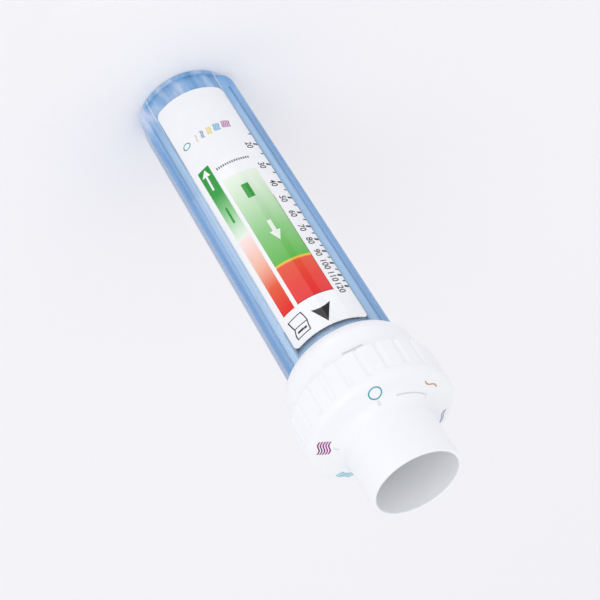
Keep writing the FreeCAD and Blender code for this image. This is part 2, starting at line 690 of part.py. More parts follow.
# Port plate, seal and detent
def make_port_plate():
    """Fixed plate with one off-centre port, the post for the dial, and the fixed stop."""
    body = new_body("port_plate")
    ring_outer = PLENUM_RADIUS
    ring_inner = ring_outer - S["spigot_wall"]
    ring_bottom = COLLAR_TOP - S["spigot_depth"]
    post = S["post_radius"]
    groove = post - S["clip_depth"]
    groove_bottom = DISC_TOP + S["post_above"] - S["clip_thick"] * 2
    groove_top = groove_bottom + S["clip_thick"]
    post_top = DISC_TOP + S["post_above"]
    revolve(body, "plate", [
        (ZERO, COLLAR_TOP), (ring_inner, COLLAR_TOP), (ring_inner, ring_bottom),
        (ring_outer, ring_bottom), (ring_outer, COLLAR_TOP), (PLATE_RADIUS, COLLAR_TOP),
        (PLATE_RADIUS, PLATE_TOP), (post, PLATE_TOP), (post, groove_bottom),
        (groove, groove_bottom), (groove, groove_top), (post, groove_top), (post, post_top),
        (ZERO, post_top)])
    stop = new_sketch(body, "stop_outline", offset=COLLAR_TOP)
    draw_loop(stop, sector(PLATE_RADIUS - S["spigot_wall"], SKIRT_INNER - S["stop_clear"],
                           REAR - FIXED_STOP_HALF, REAR + FIXED_STOP_HALF))
    rise_from(body, "fixed_stop", stop, S["plate_thick"])
    port_x, port_y = on_circle(S["pitch_radius"], FRONT)
    groove_sketch = new_sketch(body, "seal_outline", offset=PLATE_TOP - S["seal_depth"])
    draw_circle(groove_sketch, ZERO, port_y, S["port_radius"] + S["seal_wall"])
    cut_up(body, "seal_groove", groove_sketch, S["seal_depth"])
    port = new_sketch(body, "port_outline", offset=COLLAR_TOP)
    draw_circle(port, ZERO, port_y, S["port_radius"])
    cut_up(body, "port", port, S["plate_thick"])
    half_x = S["leaf_width"] / 2 + S["running"]
    half_y = S["leaf_length"] / 2 + S["running"]
    middle = DETENT_CIRCLE
    pocket = new_sketch(body, "leaf_seat_outline", offset=PLATE_TOP - S["leaf_thick"] * 3)
    draw_loop(pocket, [(middle - half_x, -half_y), (middle + half_x, -half_y),
                       (middle + half_x, half_y), (middle - half_x, half_y)])
    cut_up(body, "leaf_seat", pocket, S["plate_thick"])
    return body


def make_port_seal():
    body = new_body("port_seal")
    sketch = new_sketch(body, "ring_outline", offset=PLATE_TOP - S["seal_depth"])
    port_x, port_y = on_circle(S["pitch_radius"], FRONT)
    draw_circle(sketch, ZERO, port_y, S["port_radius"] + S["seal_wall"])
    draw_circle(sketch, ZERO, port_y, S["port_radius"])
    rise_from(body, "ring", sketch, S["seal_depth"] + S["disc_gap"] - S["rest_gap"])
    return body


def make_detent_spring():
    """Leaf whose round nose drops into the pits of the aperture disc."""
    body = new_body("detent_spring")
    leaf = new_sketch(body, "leaf_outline", offset=PLATE_TOP - S["leaf_thick"] * 3)
    half_x, half_y = S["leaf_width"] / 2, S["leaf_length"] / 2
    middle = DETENT_CIRCLE
    draw_loop(leaf, [(middle - half_x, -half_y), (middle + half_x, -half_y),
                     (middle + half_x, half_y), (middle - half_x, half_y)])
    rise_from(body, "leaf", leaf, S["leaf_thick"])
    nose = new_sketch(body, "nose_outline", offset=PLATE_TOP - S["leaf_thick"] * 2)
    draw_circle(nose, middle, ZERO, S["nose_radius"])
    height = S["leaf_thick"] * 2 + S["disc_gap"] + S["pit_depth"] / 2
    rise_from(body, "nose", nose, height)
    document.recompute()
    base = body.Tip
    top = PLATE_TOP.number - S["leaf_thick"].number * 2 + height.number
    edges = [f"Edge{i}" for i, edge in enumerate(base.Shape.Edges, start=1)
             if abs(edge.BoundBox.ZMin - top) < 0.001]
    fillet = body.newObject("PartDesign::Fillet", "round_nose")
    fillet.Base = (base, edges)
    fillet.setExpression("Radius", (S["nose_radius"] / 2).formula)
    return body


# Dial head
def make_aperture_disc():
    """Six graded holes, one for each setting, and the six detent pits."""
    body = new_body("aperture_disc")
    bore = S["post_radius"] + S["running"]
    revolve(body, "disc", tube_profile(bore, DISC_RADIUS, DISC_BOTTOM, DISC_TOP))
    holes = new_sketch(body, "graded_holes_outline", offset=DISC_BOTTOM)
    for setting, share in enumerate(HOLE_SHARES):
        angle = FRONT - S["hole_pitch"] * setting
        x, y = on_circle(S["pitch_radius"], angle)
        draw_circle(holes, x, y, S["port_radius"] * share)
    cut_up(body, "graded_holes", holes, S["disc_thick"])
    pit = new_sketch(body, "pit_outline", offset=DISC_BOTTOM)
    draw_circle(pit, DETENT_CIRCLE, ZERO, S["pit_radius"])
    one_pit = cut_up(body, "detent_pit", pit, S["pit_depth"])
    pits = pattern_round(body, "detent_pits", one_pit, len(HOLE_SHARES), DIAL_RANGE)
    pits.Reversed = True
    return body


def make_dial_shell():
    """The dial, its bell-shaped face and the mouthpiece in one white moulding."""
    body = new_body("dial_shell")
    slope = S["face_slope"].sine() / S["face_slope"].cosine()
    edge_height = DIAL_BOTTOM + S["dial_length"]
    root_height = edge_height + (S["dial_radius"] - S["root_radius"]) * slope
    top = root_height + S["mouthpiece_length"]
    cavity = DISC_RADIUS - S["dial_seat"]
    bore_start = top - S["mouth_depth"]
    revolve(body, "bell", [
        (SKIRT_INNER, DIAL_BOTTOM), (S["dial_radius"], DIAL_BOTTOM),
        (S["dial_radius"], edge_height), (S["root_radius"], root_height),
        (S["spigot_radius"], top - S["spigot_length"]), (S["spigot_radius"], top),
        (S["mouth_radius"], top), (S["mouth_radius"], bore_start),
        (cavity, bore_start - S["cavity_round"]), (cavity, DISC_TOP),
        (DISC_RADIUS, DISC_TOP), (DISC_RADIUS, DISC_BOTTOM),
        (SKIRT_INNER, DISC_BOTTOM)])
    round_ring(body, "front_shoulder", S["dial_radius"], edge_height, S["shoulder_round"])
    round_ring(body, "bell_fillet", S["root_radius"], root_height, S["bell_round"])
    round_ring(body, "rim_outside", S["spigot_radius"], top, S["rim_round"])
    round_ring(body, "rim_inside", S["mouth_radius"], top, S["rim_round"])
    flute = new_sketch(body, "grip_outline", offset=DIAL_BOTTOM)
    middle = S["dial_radius"] + S["grip_radius"] - S["grip_depth"]
    draw_circle(flute, middle, ZERO, S["grip_radius"])
    one_flute = cut_up(body, "grip_flute", flute,
                       edge_height - DIAL_BOTTOM - S["shoulder_round"])
    pattern_round(body, "grip_flutes", one_flute, S["grip_count"])
    lug = new_sketch(body, "lug_outline", offset=DIAL_BOTTOM)
    start = REAR + FIXED_STOP_HALF + S["stop_play"]
    draw_loop(lug, sector(PLATE_RADIUS + S["lug_clear"], SKIRT_INNER + S["dial_wall"] / 2, start,
                          start + S["lug_half_angle"] * 2))
    rise_from(body, "stop_lug", lug, DISC_BOTTOM - DIAL_BOTTOM - S["disc_gap"] / 2)
    return body


def make_dial_spring():
    """Cone spring that presses the dial on the port seal."""
    body = new_body("dial_spring")
    inner = S["post_radius"] + S["running"] * 2
    outer = inner * 2
    thick = S["clip_thick"] / 2
    top = DISC_TOP + S["post_above"] - S["clip_thick"] * 2
    bottom = DISC_TOP + S["rest_gap"]
    revolve(body, "cone", [(outer - thick, bottom), (outer, bottom), (outer, bottom + thick),
                           (inner + thick, top), (inner, top), (inner, top - thick)])
    return body


# All pieces
def make_pieces():
    rod_bore = S["rod_radius"] + S["running"]
    clip_bottom = DISC_TOP + S["post_above"] - S["clip_thick"] * 2
    cursor_bore = S["tube_outer"] + S["running"]
    cursor_top = CURSOR_BOTTOM + S["cursor_length"] - S["keeper_length"]
    return [
        make_front_shell(),
        make_rear_shell(),
        make_scale_label(),
        make_inlet_cap(),
        make_metering_tube(),
        make_guide_rod(),
        spider("inlet_spider", CAP_TOP),
        spider("outlet_spider", OUTLET_BOTTOM),
        plain_ring("zero_buffer", S["rod_radius"], S["buffer_radius"], SPIDER_TOP,
                   SPIDER_TOP + S["buffer_height"]),
        plain_ring("stop_buffer", S["rod_radius"], S["buffer_radius"],
                   STOP_BOTTOM, OUTLET_BOTTOM),
        open_clip("rod_clip", S["rod_radius"] - S["clip_depth"] / 2, S["buffer_radius"],
                  OUTLET_TOP),
        make_piston_bush(),
        make_piston_vane(),
        make_return_spring(),
        plain_ring("cursor_ring", cursor_bore, CURSOR_OUTER, CURSOR_BOTTOM, cursor_top),
        plain_ring("cursor_keeper", cursor_bore, CURSOR_OUTER, cursor_top,
                   cursor_top + S["keeper_length"]),
        plain_ring("weight_sleeve", WEIGHT_INNER, WEIGHT_OUTER, WEIGHT_BOTTOM, SLEEVE_TOP),
        plain_ring("ring_magnet", WEIGHT_INNER, WEIGHT_OUTER, SLEEVE_TOP, WEIGHT_TOP),
        plain_ring("parking_ring", S["tube_outer"], WEIGHT_OUTER, PARKING_BOTTOM, PARKING_TOP),
        make_neck_collar(),
        make_port_plate(),
        make_port_seal(),
        make_detent_spring(),
        make_aperture_disc(),
        make_dial_shell(),
        make_dial_spring(),
        open_clip("dial_clip", S["post_radius"] - S["clip_depth"],
                  S["post_radius"] + S["clip_thick"] * 2, clip_bottom),
    ]


def check_document(pieces):
    """Stop if any feature failed or any piece isn't one sound solid."""
    for item in document.Objects:
        if "Invalid" in item.State or "Error" in item.State:
            raise RuntimeError(f"{item.Name} ({item.Label}) failed: {item.State}")
    for piece in pieces:
        if piece.Shape.isNull() or not piece.Shape.isValid() or len(piece.Shape.Solids) != 1:
            raise RuntimeError(f"{piece.Label} isn't one valid solid")


def main():
    pieces = make_pieces()
    document.recompute()
    check_document(pieces)
    os.makedirs(PARTS_FOLDER, exist_ok=True)
    for piece in pieces:
        piece.Shape.exportStep(os.path.join(PARTS_FOLDER, piece.Label + ".step"))
        box = piece.Shape.BoundBox
        print(f"{piece.Label:16s} {piece.Shape.Volume:9.1f} mm3  "
              f"z {box.ZMin:6.2f} to {box.ZMax:6.2f}  x {box.XMin:6.2f} to {box.XMax:6.2f}")


main()
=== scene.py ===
# Inspiratory flow meter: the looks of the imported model, in metres. Z runs along the flow axis,
# from the flat far end to the mouthpiece, and the scale label faces -Y.
import bpy
import math
from mathutils import Matrix, Vector


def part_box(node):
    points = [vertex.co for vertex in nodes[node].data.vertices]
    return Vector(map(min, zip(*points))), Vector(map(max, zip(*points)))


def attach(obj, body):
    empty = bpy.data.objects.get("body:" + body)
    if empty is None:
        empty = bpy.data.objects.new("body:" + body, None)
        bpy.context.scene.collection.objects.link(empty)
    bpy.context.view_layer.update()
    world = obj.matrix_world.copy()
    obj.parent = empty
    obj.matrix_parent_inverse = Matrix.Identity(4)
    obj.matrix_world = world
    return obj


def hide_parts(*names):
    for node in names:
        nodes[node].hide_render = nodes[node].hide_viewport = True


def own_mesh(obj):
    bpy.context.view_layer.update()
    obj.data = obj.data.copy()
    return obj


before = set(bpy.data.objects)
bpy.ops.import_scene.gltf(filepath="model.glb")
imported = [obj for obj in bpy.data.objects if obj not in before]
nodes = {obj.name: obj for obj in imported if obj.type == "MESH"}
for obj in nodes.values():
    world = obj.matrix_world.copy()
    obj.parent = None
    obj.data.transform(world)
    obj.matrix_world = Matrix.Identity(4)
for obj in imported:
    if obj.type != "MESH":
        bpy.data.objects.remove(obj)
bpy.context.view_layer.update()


# Body shells
# Two halves of clear light-blue polycarbonate, injection moulded with polished faces and welded
# together along the flow axis. The wall is nearly clear face on, and its thick flanges and end look
# deeper blue, with painted highlight and painted shade in streaks over them.
def linear(code):
    """Red, green, blue and alpha of an sRGB hex code, in linear light."""
    parts = [int(code[start:start + 2], 16) / 255 for start in (1, 3, 5)]
    return [part / 12.92 if part <= 0.04045 else ((part + 0.055) / 1.055) ** 2.4
            for part in parts] + [1.0]


def add(material, kind, links=None, stops=None, **settings):
    """Add one node with its settings, values and links."""
    node = material.node_tree.nodes.new("ShaderNode" + kind)
    for name, value in settings.items():
        setattr(node, name, value)
    if stops:
        ramp = node.color_ramp
        ramp.elements[0].position, ramp.elements[0].color = stops[0]
        ramp.elements[1].position, ramp.elements[1].color = stops[-1]
        for place, colour in stops[1:-1]:
            ramp.elements.new(place).color = colour
    for key, value in (links or {}).items():
        if isinstance(value, bpy.types.Node):
            value = value.outputs[0]
        if isinstance(value, bpy.types.NodeSocket):
            material.node_tree.links.new(value, node.inputs[key])
        else:
            node.inputs[key].default_value = value
    return node


def new_material(name):
    """An empty node material."""
    material = bpy.data.materials.new(name)
    material.use_nodes = True
    material.node_tree.nodes.clear()
    return material


def dress(material, *names):
    """Give CAD nodes this material."""
    for name in names:
        for place in nodes[name].material_slots:
            place.material = material


def grey(level):
    """The same linear level in red, green and blue, for a ramp that gives a plain number."""
    return (level, level, level, 1)


MM = 0.001
BAND_START, BAND_END = 11.0 * MM, 17.0 * MM
FAR_END_FULL, FAR_END_GONE = 6.0 * MM, 26.0 * MM
REAR_START, REAR_FULL = 3.2 * MM, 5.5 * MM
RIM_START, RIM_FULL = 116.2 * MM, 118.3 * MM

blue = new_material("clear_blue_polycarbonate")
coords = add(blue, "TexCoord").outputs["Object"]
axes = add(blue, "SeparateXYZ", {"Vector": coords})
# The blue deepens in bands from the crease at 12.1 mm outwards as the flange thickens, deepest
# past the groove, towards the outer edge. Painted light is mixed in: a painted highlight strip
# beside the label, a painted shade line at the crease, and light and dark streaks of painted
# reflection.
across = add(blue, "Math", {0: axes.outputs["X"]}, operation="ABSOLUTE")
reach = add(blue, "MapRange", {"Value": across, "From Min": BAND_START, "From Max": BAND_END})
flange_blue_and_painted_streaks = add(blue, "ValToRGB", {"Fac": reach}, stops=[
    (0.0, linear("#A9C9EA")), (0.17, linear("#BCD8F3")), (0.19, linear("#8DB8E4")),
    (0.22, linear("#B6D6F3")), (0.50, linear("#A8CCEE")), (0.54, linear("#9CC4EA")),
    (0.62, linear("#94BCE5")), (0.68, linear("#89B5E2")), (0.78, linear("#72A2D5")),
    (0.93, linear("#7FB0E2")), (0.955, linear("#74A7DE")), (1.0, linear("#6299D6"))])
# The thick far end is deeper blue, with drawn-out streaks of pale blue over it that are painted
# reflection.
end = add(blue, "MapRange", {"Value": axes.outputs["Z"], "From Min": FAR_END_FULL,
                             "From Max": FAR_END_GONE, "To Min": 1.0, "To Max": 0.0})
drawn = add(blue, "Mapping", {"Vector": coords, "Scale": (1, 1, 0.35)})
flow = add(blue, "TexNoise", {"Vector": drawn, "Scale": 170.0, "Detail": 3.0})
# The pale streaks in this ramp are painted reflection.
cloud = add(blue, "ValToRGB", {"Fac": flow}, stops=[
    (0.32, linear("#7FB2E6")), (0.5, linear("#9AC7F2")), (0.62, linear("#D3E1FB"))])
tint = add(blue, "Mix", {0: end, 6: flange_blue_and_painted_streaks, 7: cloud}, data_type="RGBA")
# The sharp crease at the far end catches the light as a thin white line.
glint = add(blue, "ValToRGB", {"Fac": reach}, stops=[
    (0.15, grey(0)), (0.172, grey(1)), (0.198, grey(1)), (0.215, grey(0))])
glint = add(blue, "Math", {0: glint, 1: end}, operation="MULTIPLY")
tint = add(blue, "Mix", {0: glint, 6: tint.outputs[2], 7: linear("#F4F9FF")},
           data_type="RGBA")
# The wall over the works is nearly clear, the solid bands let little through, and the side walls
# show it in streaks along the flow of the moulding.
depth = add(blue, "ValToRGB", {"Fac": reach}, stops=[
    (0.05, grey(0.13)), (0.2, grey(0.8)), (0.93, grey(0.82)), (0.97, grey(0.76))])
# The rear half has no flanges, so it stays clear and only thickens to the eye towards its sides.
behind = add(blue, "MapRange", {"Value": axes.outputs["Y"], "From Min": REAR_START,
                                "From Max": REAR_FULL})
thin = add(blue, "MapRange", {"Value": across, "From Min": 9.0 * MM, "From Max": 16.0 * MM,
                              "To Min": 0.1, "To Max": 0.5})
depth = add(blue, "Mix", {0: behind, 2: depth, 3: thin}, data_type="FLOAT")
thick_end_opacity = add(blue, "Math", {0: end, 1: 0.75}, operation="MULTIPLY")
depth = add(blue, "Math", {0: depth, 1: thick_end_opacity}, operation="MAXIMUM")
along = add(blue, "Mapping", {"Vector": coords, "Scale": (1, 1, 0.03)})
streak = add(blue, "TexNoise", {"Vector": along, "Scale": 620.0, "Detail": 3.0})
streak = add(blue, "MapRange", {"Value": streak, "From Min": 0.3, "From Max": 0.7,
                                "To Min": 0.86, "To Max": 1.14})
depth = add(blue, "Math", {0: depth, 1: streak}, operation="MULTIPLY")
# The rim that sits in the collar is thick, and pale blue up to the parked weight.
rim = add(blue, "MapRange", {"Value": axes.outputs["Z"], "From Min": RIM_START,
                             "From Max": RIM_FULL, "To Min": 0.0, "To Max": 0.72})
depth = add(blue, "Math", {0: depth, 1: rim}, operation="MAXIMUM")
# Moulded flow leaves a faint waviness, some 5 mm across, in the polished face.
wave = add(blue, "Bump", {"Strength": 0.12, "Distance": 0.1 * MM, "Height": flow})
shader = add(blue, "BsdfPrincipled", {
    "Base Color": tint.outputs[2], "Roughness": 0.06, "IOR": 1.58, "Alpha": depth,
    "Normal": wave})
add(blue, "OutputMaterial", {"Surface": shader})
dress(blue, "front_shell", "rear_shell")


# Corner webs
# Behind the two rounded corners of the far end, where the wall runs out, the moulding keeps a thin
# curved web of the same clear blue plastic. It closes the corner along the side wall.
def deselect():
    """Clear the selection."""
    bpy.ops.object.select_all(action="DESELECT")


def shape_mesh(piece):
    """Move a piece's place, turn and size into its mesh."""
    deselect()
    piece.select_set(True)
    bpy.context.view_layer.objects.active = piece
    bpy.ops.object.transform_apply(location=True, rotation=True, scale=True)


CORNER_CENTRE = (9.8 * MM, 7.0 * MM)
WEB_OUTER, WEB_INNER = 6.96 * MM, 6.2 * MM
WEB_FRONT, WEB_BACK = -6.9 * MM, 2.6 * MM
WEB_START, WEB_TURN = math.radians(35), math.radians(19)
for side, name in ((1, "corner_web_right"), (-1, "corner_web_left")):
    middle = (WEB_OUTER + WEB_INNER) / 2
    deselect()
    bpy.ops.mesh.primitive_plane_add(size=1)
    web = bpy.context.object
    web.name = name
    # The cross-section stands at the start of the corner's arc, and is spun down along it.
    web.matrix_world = (
        Matrix.Translation((side * (CORNER_CENTRE[0] + middle * math.cos(WEB_START)),
                            (WEB_FRONT + WEB_BACK) / 2,
                            CORNER_CENTRE[1] - middle * math.sin(WEB_START)))
        @ Matrix.Rotation(side * WEB_START, 4, "Y")
        @ Matrix.Diagonal((WEB_OUTER - WEB_INNER, WEB_BACK - WEB_FRONT, 1, 1)))
    shape_mesh(web)
    bpy.ops.object.mode_set(mode="EDIT")
    bpy.ops.mesh.select_all(action="SELECT")
    bpy.ops.mesh.spin(steps=6, angle=-side * WEB_TURN, axis=(0, 1, 0),
                      center=(side * CORNER_CENTRE[0], 0, CORNER_CENTRE[1]))
    bpy.ops.mesh.select_all(action="SELECT")
    bpy.ops.mesh.normals_make_consistent(inside=False)
    bpy.ops.object.mode_set(mode="OBJECT")
    bpy.ops.object.shade_smooth_by_angle(angle=math.radians(40))
    web.data.materials.append(blue)
    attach(web, "meter_body")


# Scale label
# White polyester film with a clear gloss laminate, die cut with round corners and wrapped on the
# front dome. It is as smooth as glass, with a trace of orange peel from the adhesive below.
LABEL_RADIUS = 16.35 * MM


def gloss_film(name, colour, source=None):
    """Laminated film or the ink under its laminate, in one colour or one that a node gives."""
    material = new_material(name)
    place = add(material, "TexCoord").outputs["Object"]
    peel = add(material, "TexNoise", {"Vector": place, "Scale": 420.0, "Detail": 3.0})
    bump = add(material, "Bump", {"Strength": 0.03, "Distance": 0.02 * MM, "Height": peel})
    if source:
        colour = source(material, place)
    else:
        # Ink and film vary by a shade over a few millimetres.
        shade = [part * 0.95 for part in linear(colour)[:3]] + [1.0]
        mottle = add(material, "TexNoise", {"Vector": place, "Scale": 260.0, "Detail": 4.0})
        colour = add(material, "Mix", {0: mottle, 6: linear(colour), 7: shade},
                     data_type="RGBA").outputs[2]
    skin = add(material, "BsdfPrincipled", {
        "Base Color": colour, "Roughness": 0.05, "IOR": 1.42, "Normal": bump})
    add(material, "OutputMaterial", {"Surface": skin})
    return material


film = gloss_film("label_white_polyester", "#F6F7F9")
dress(film, "scale_label")


# Colour bars of the label
# Two screen-printed bands under the laminate. The wide one deepens from pale green to green and
# turns to red past a thin yellow line. The narrow one pales from green to near white, then reddens.
BEFORE = -30 * MM  # flat artwork is drawn this far before the axis, and then laid on the part


def patch(name, left, right, bottom, top, cuts):
    """A flat patch in front of the label, from left to right in x and bottom to top in z."""
    deselect()
    bpy.ops.mesh.primitive_grid_add(x_subdivisions=cuts, y_subdivisions=1, size=1)
    piece = bpy.context.object
    piece.name = name
    piece.matrix_world = (Matrix.Translation(((left + right) / 2 * MM, BEFORE,
                                              (bottom + top) / 2 * MM))
                          @ Matrix.Rotation(math.radians(90), 4, "X")
                          @ Matrix.Diagonal(((right - left) * MM, (top - bottom) * MM, 1, 1)))
    shape_mesh(piece)
    return piece


def join(name, pieces):
    """Make one mesh of several."""
    deselect()
    for piece in pieces:
        piece.select_set(True)
    bpy.context.view_layer.objects.active = pieces[0]
    if len(pieces) > 1:
        bpy.ops.object.join()
    pieces[0].name = name
    return pieces[0]


def print_on(piece, node, axis, body, material, lift=0.03):
    """Lay flat artwork on a CAD face, along one axis, as ink a few hundredths above it."""
    wrap = piece.modifiers.new("lay", "SHRINKWRAP")
    wrap.target = nodes[node]
    wrap.wrap_method = "PROJECT"
    wrap.use_project_y = axis == "Y"
    wrap.use_project_z = axis == "Z"
    wrap.use_positive_direction = axis == "Y"
    wrap.use_negative_direction = axis == "Z"
    wrap.wrap_mode = "ABOVE_SURFACE"
    wrap.offset = lift * MM
    deselect()
    piece.select_set(True)
    bpy.context.view_layer.objects.active = piece
    bpy.ops.object.modifier_apply(modifier="lay")
    bpy.ops.object.shade_smooth()
    piece.data.materials.clear()
    piece.data.materials.append(material)
    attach(piece, body)
    return piece


def bar_ramp(stops, bottom, top):
    """Colour along the bar, from stops given by their height in millimetres."""
    def colours(material, place):
        height = add(material, "SeparateXYZ", {"Vector": place}).outputs["Z"]
        share = add(material, "MapRange", {"Value": height, "From Min": bottom * MM,
                                           "From Max": top * MM})
        return add(material, "ValToRGB", {"Fac": share}, stops=[
            ((place_z - bottom) / (top - bottom), linear(code))
            for place_z, code in stops]).outputs["Color"]
    return colours


WIDE_BAR = [(49.0, "#E8F2E4"), (58.0, "#CFE6C9"), (75.0, "#84C67A"), (88.4, "#55B23A"),
            (88.7, "#E8C83C"), (89.3, "#F0A030"), (89.6, "#E24A22"), (97.0, "#E42C16"),
            (104.3, "#E21318")]
NARROW_BAR = [(40.0, "#17932E"), (52.0, "#2FA140"), (62.0, "#98D49B"), (72.0, "#EEF6EA"),
              (72.6, "#FBE6E2"), (85.0, "#F5B8A0"), (94.0, "#E85A38"), (104.7, "#E21417")]
WIDE_LEFT, WIDE_RIGHT, WIDE_BOTTOM, WIDE_TOP = -6.5, 5.0, 49.0, 104.3
NARROW_LEFT, NARROW_RIGHT, NARROW_BOTTOM, NARROW_TOP = 6.2, 10.1, 40.0, 104.7
wide_ink = gloss_film("bar_ink_wide", None, bar_ramp(WIDE_BAR, WIDE_BOTTOM, WIDE_TOP))
narrow_ink = gloss_film("bar_ink_narrow", None, bar_ramp(NARROW_BAR, NARROW_BOTTOM, NARROW_TOP))
print_on(patch("wide_bar", WIDE_LEFT, WIDE_RIGHT, WIDE_BOTTOM, WIDE_TOP, 30), "scale_label", "Y",
         "meter_body", wide_ink)
print_on(patch("narrow_bar", NARROW_LEFT, NARROW_RIGHT, NARROW_BOTTOM, NARROW_TOP, 14),
         "scale_label", "Y", "meter_body", narrow_ink)

# A hair of dark ink edges the red end and the scale's side of the wide bar.
dark_ink = gloss_film("ink_dark_grey", "#2A2B30")
outline = [patch("edge", WIDE_LEFT - 0.12, WIDE_RIGHT + 0.1, WIDE_TOP, WIDE_TOP + 0.2, 30),
           patch("edge", WIDE_LEFT - 0.12, WIDE_LEFT, 62.0, WIDE_TOP, 1)]
print_on(join("bar_outline", outline), "scale_label", "Y", "meter_body", dark_ink)


# Arrows on the bars
# A plain pale arrow on each bar points along the scale, up on the wide bar and down on the narrow
# one. A green patch before the wide arrow and a thin green line on the narrow bar go with them.
def corners(name, points, cuts=4):
    """A flat patch in front of the label with corners given as (x, z), anticlockwise."""
    deselect()
    bpy.ops.mesh.primitive_circle_add(vertices=len(points), radius=MM, fill_type="NGON")
    piece = bpy.context.object
    piece.name = name
    for vertex, (x, z) in zip(piece.data.vertices, points):
        vertex.co = (x * MM, BEFORE, z * MM)
    bpy.ops.object.mode_set(mode="EDIT")
    bpy.ops.mesh.select_all(action="SELECT")
    bpy.ops.mesh.quads_convert_to_tris()
    bpy.ops.mesh.subdivide(number_cuts=cuts)
    bpy.ops.mesh.normals_make_consistent(inside=False)
    bpy.ops.object.mode_set(mode="OBJECT")
    return piece


OVERPRINT = 0.06  # millimetres above the label, for ink that lies on the ink of the bars
white_ink = gloss_film("ink_white", "#F8F9FA")
green_ink = gloss_film("ink_green", "#23992F")
wide_arrow = [corners("shaft", [(-1.4, 71.5), (-0.1, 71.5), (-0.1, 76.2), (-1.4, 76.2)]),
              corners("head", [(-2.5, 76.2), (1.0, 76.2), (-0.75, 80.4)])]
print_on(join("wide_arrow", wide_arrow), "scale_label", "Y", "meter_body",
         gloss_film("ink_greenish_white", "#EAF3E6"), OVERPRINT)
narrow_arrow = [corners("shaft", [(8.0, 43.4), (8.6, 43.4), (8.75, 49.6), (8.15, 49.6)]),
                corners("head", [(7.0, 43.8), (7.85, 40.7), (9.65, 43.1)])]
print_on(join("narrow_arrow", narrow_arrow), "scale_label", "Y", "meter_body", white_ink,
         OVERPRINT)
marks = [corners("patch", [(-1.5, 54.2), (0.9, 54.2), (0.9, 60.4), (-1.5, 60.4)]),
         corners("line", [(7.85, 58.4), (8.45, 58.4), (8.5, 65.2), (7.9, 65.2)])]
print_on(join("bar_patches", marks), "scale_label", "Y", "meter_body", green_ink, OVERPRINT)


# Flow scale
# Fine dark-grey strokes and plain numbers along the label's -X edge, in litres a minute. Their
# spacing closes up with height, because the flow past the vane grows faster than its travel.
SCALE = {15: 32.1, 20: 37.3, 25: 42.0, 30: 47.3, 35: 51.2, 40: 56.0, 45: 59.6, 50: 63.4,
         55: 66.8, 60: 70.4, 65: 73.6, 70: 76.8, 75: 79.8, 80: 82.7, 85: 85.4, 90: 88.0,
         95: 90.7, 100: 93.3, 105: 96.0, 110: 98.6, 115: 101.0, 120: 103.4}


def at_angle(degrees):
    """x in millimetres of a place on the label, by its angle round it."""
    return -LABEL_RADIUS / MM * math.sin(math.radians(degrees))


STROKE_END = 45.6  # degrees round the label, just inside its edge
strokes = []
for flow_rate, height in SCALE.items():
    major = flow_rate % 10 == 0
    start = STROKE_END - (6.2 if major else 4.0)
    thick = 0.8 if major else 0.5
    stroke = patch("stroke", at_angle(STROKE_END), at_angle(start), height - thick / 2,
                   height + thick / 2, 5)
    # The strokes lean a little towards the far end as they near the edge.
    for vertex in stroke.data.vertices:
        vertex.co.z += (vertex.co.x - at_angle(start) * MM) * 0.12
    strokes.append(stroke)
print_on(join("scale_strokes", strokes), "scale_label", "Y", "meter_body", dark_ink)


CAP_SHARE = 0.729  # height of a figure as a share of the type size


def lettering(text, height, slant=0.0):
    """Plain lettering as a flat mesh round the origin, with its cap height in millimetres."""
    deselect()
    bpy.ops.object.text_add()
    piece = bpy.context.object
    piece.data.body = text
    piece.data.size = height * MM / CAP_SHARE
    piece.data.shear = slant
    piece.data.offset = 0.015 * height * MM
    piece.data.align_x = "CENTER"
    piece.data.align_y = "CENTER"
    piece.data.resolution_u = 4
    bpy.ops.object.convert(target="MESH")
    piece = bpy.context.object
    # Centred by its ink, not by its line of type.
    spread = [[getattr(vertex.co, axis) for vertex in piece.data.vertices] for axis in "xy"]
    for vertex in piece.data.vertices:
        vertex.co.x -= (min(spread[0]) + max(spread[0])) / 2
        vertex.co.y -= (min(spread[1]) + max(spread[1])) / 2
    bpy.ops.object.mode_set(mode="EDIT")
    bpy.ops.mesh.select_all(action="SELECT")
    bpy.ops.mesh.quads_convert_to_tris()
    bpy.ops.mesh.subdivide(number_cuts=2)
    bpy.ops.object.mode_set(mode="OBJECT")
    return piece


NUMBER_ANGLE = 32.9  # degrees round the label
numbers = []
for flow_rate in range(20, 130, 10):
    number = lettering(str(flow_rate), 2.2, -0.2)
    # Reads up the scale, with its top towards the label's edge.
    number.matrix_world = Matrix(((0, -0.95, 0, at_angle(NUMBER_ANGLE) * MM), (0, 0, -1, BEFORE),
                                  (1, 0, 0, (SCALE[flow_rate] + 0.7) * MM), (0, 0, 0, 1)))
    shape_mesh(number)
    numbers.append(number)
print_on(join("scale_numbers", numbers), "scale_label", "Y", "meter_body", dark_ink)


# Pointer and leaflet mark
# A black triangle past the bars points at the index rib of the collar. Beside it stands the plain
# outline of a folded leaflet, with two short bars inside, in the same dark ink as the scale.
black_ink = gloss_film("ink_black", "#0A0A0C")
pointer = corners("pointer", [(-3.53, 108.44), (-1.67, 109.25), (0.15, 109.5), (1.54, 109.35),
                              (2.84, 108.88), (-0.13, 115.02)], 6)
print_on(pointer, "scale_label", "Y", "meter_body", black_ink)


def line(start, stop, width):
    """A thin straight stroke between two (x, z) places."""
    along = Vector((stop[0] - start[0], stop[1] - start[1])).normalized() * (width / 2)
    side = Vector((-along.y, along.x))
    first, last = Vector(start) - along, Vector(stop) + along
    return corners("stroke", [tuple(first + side), tuple(first - side), tuple(last - side),
                              tuple(last + side)], 3)


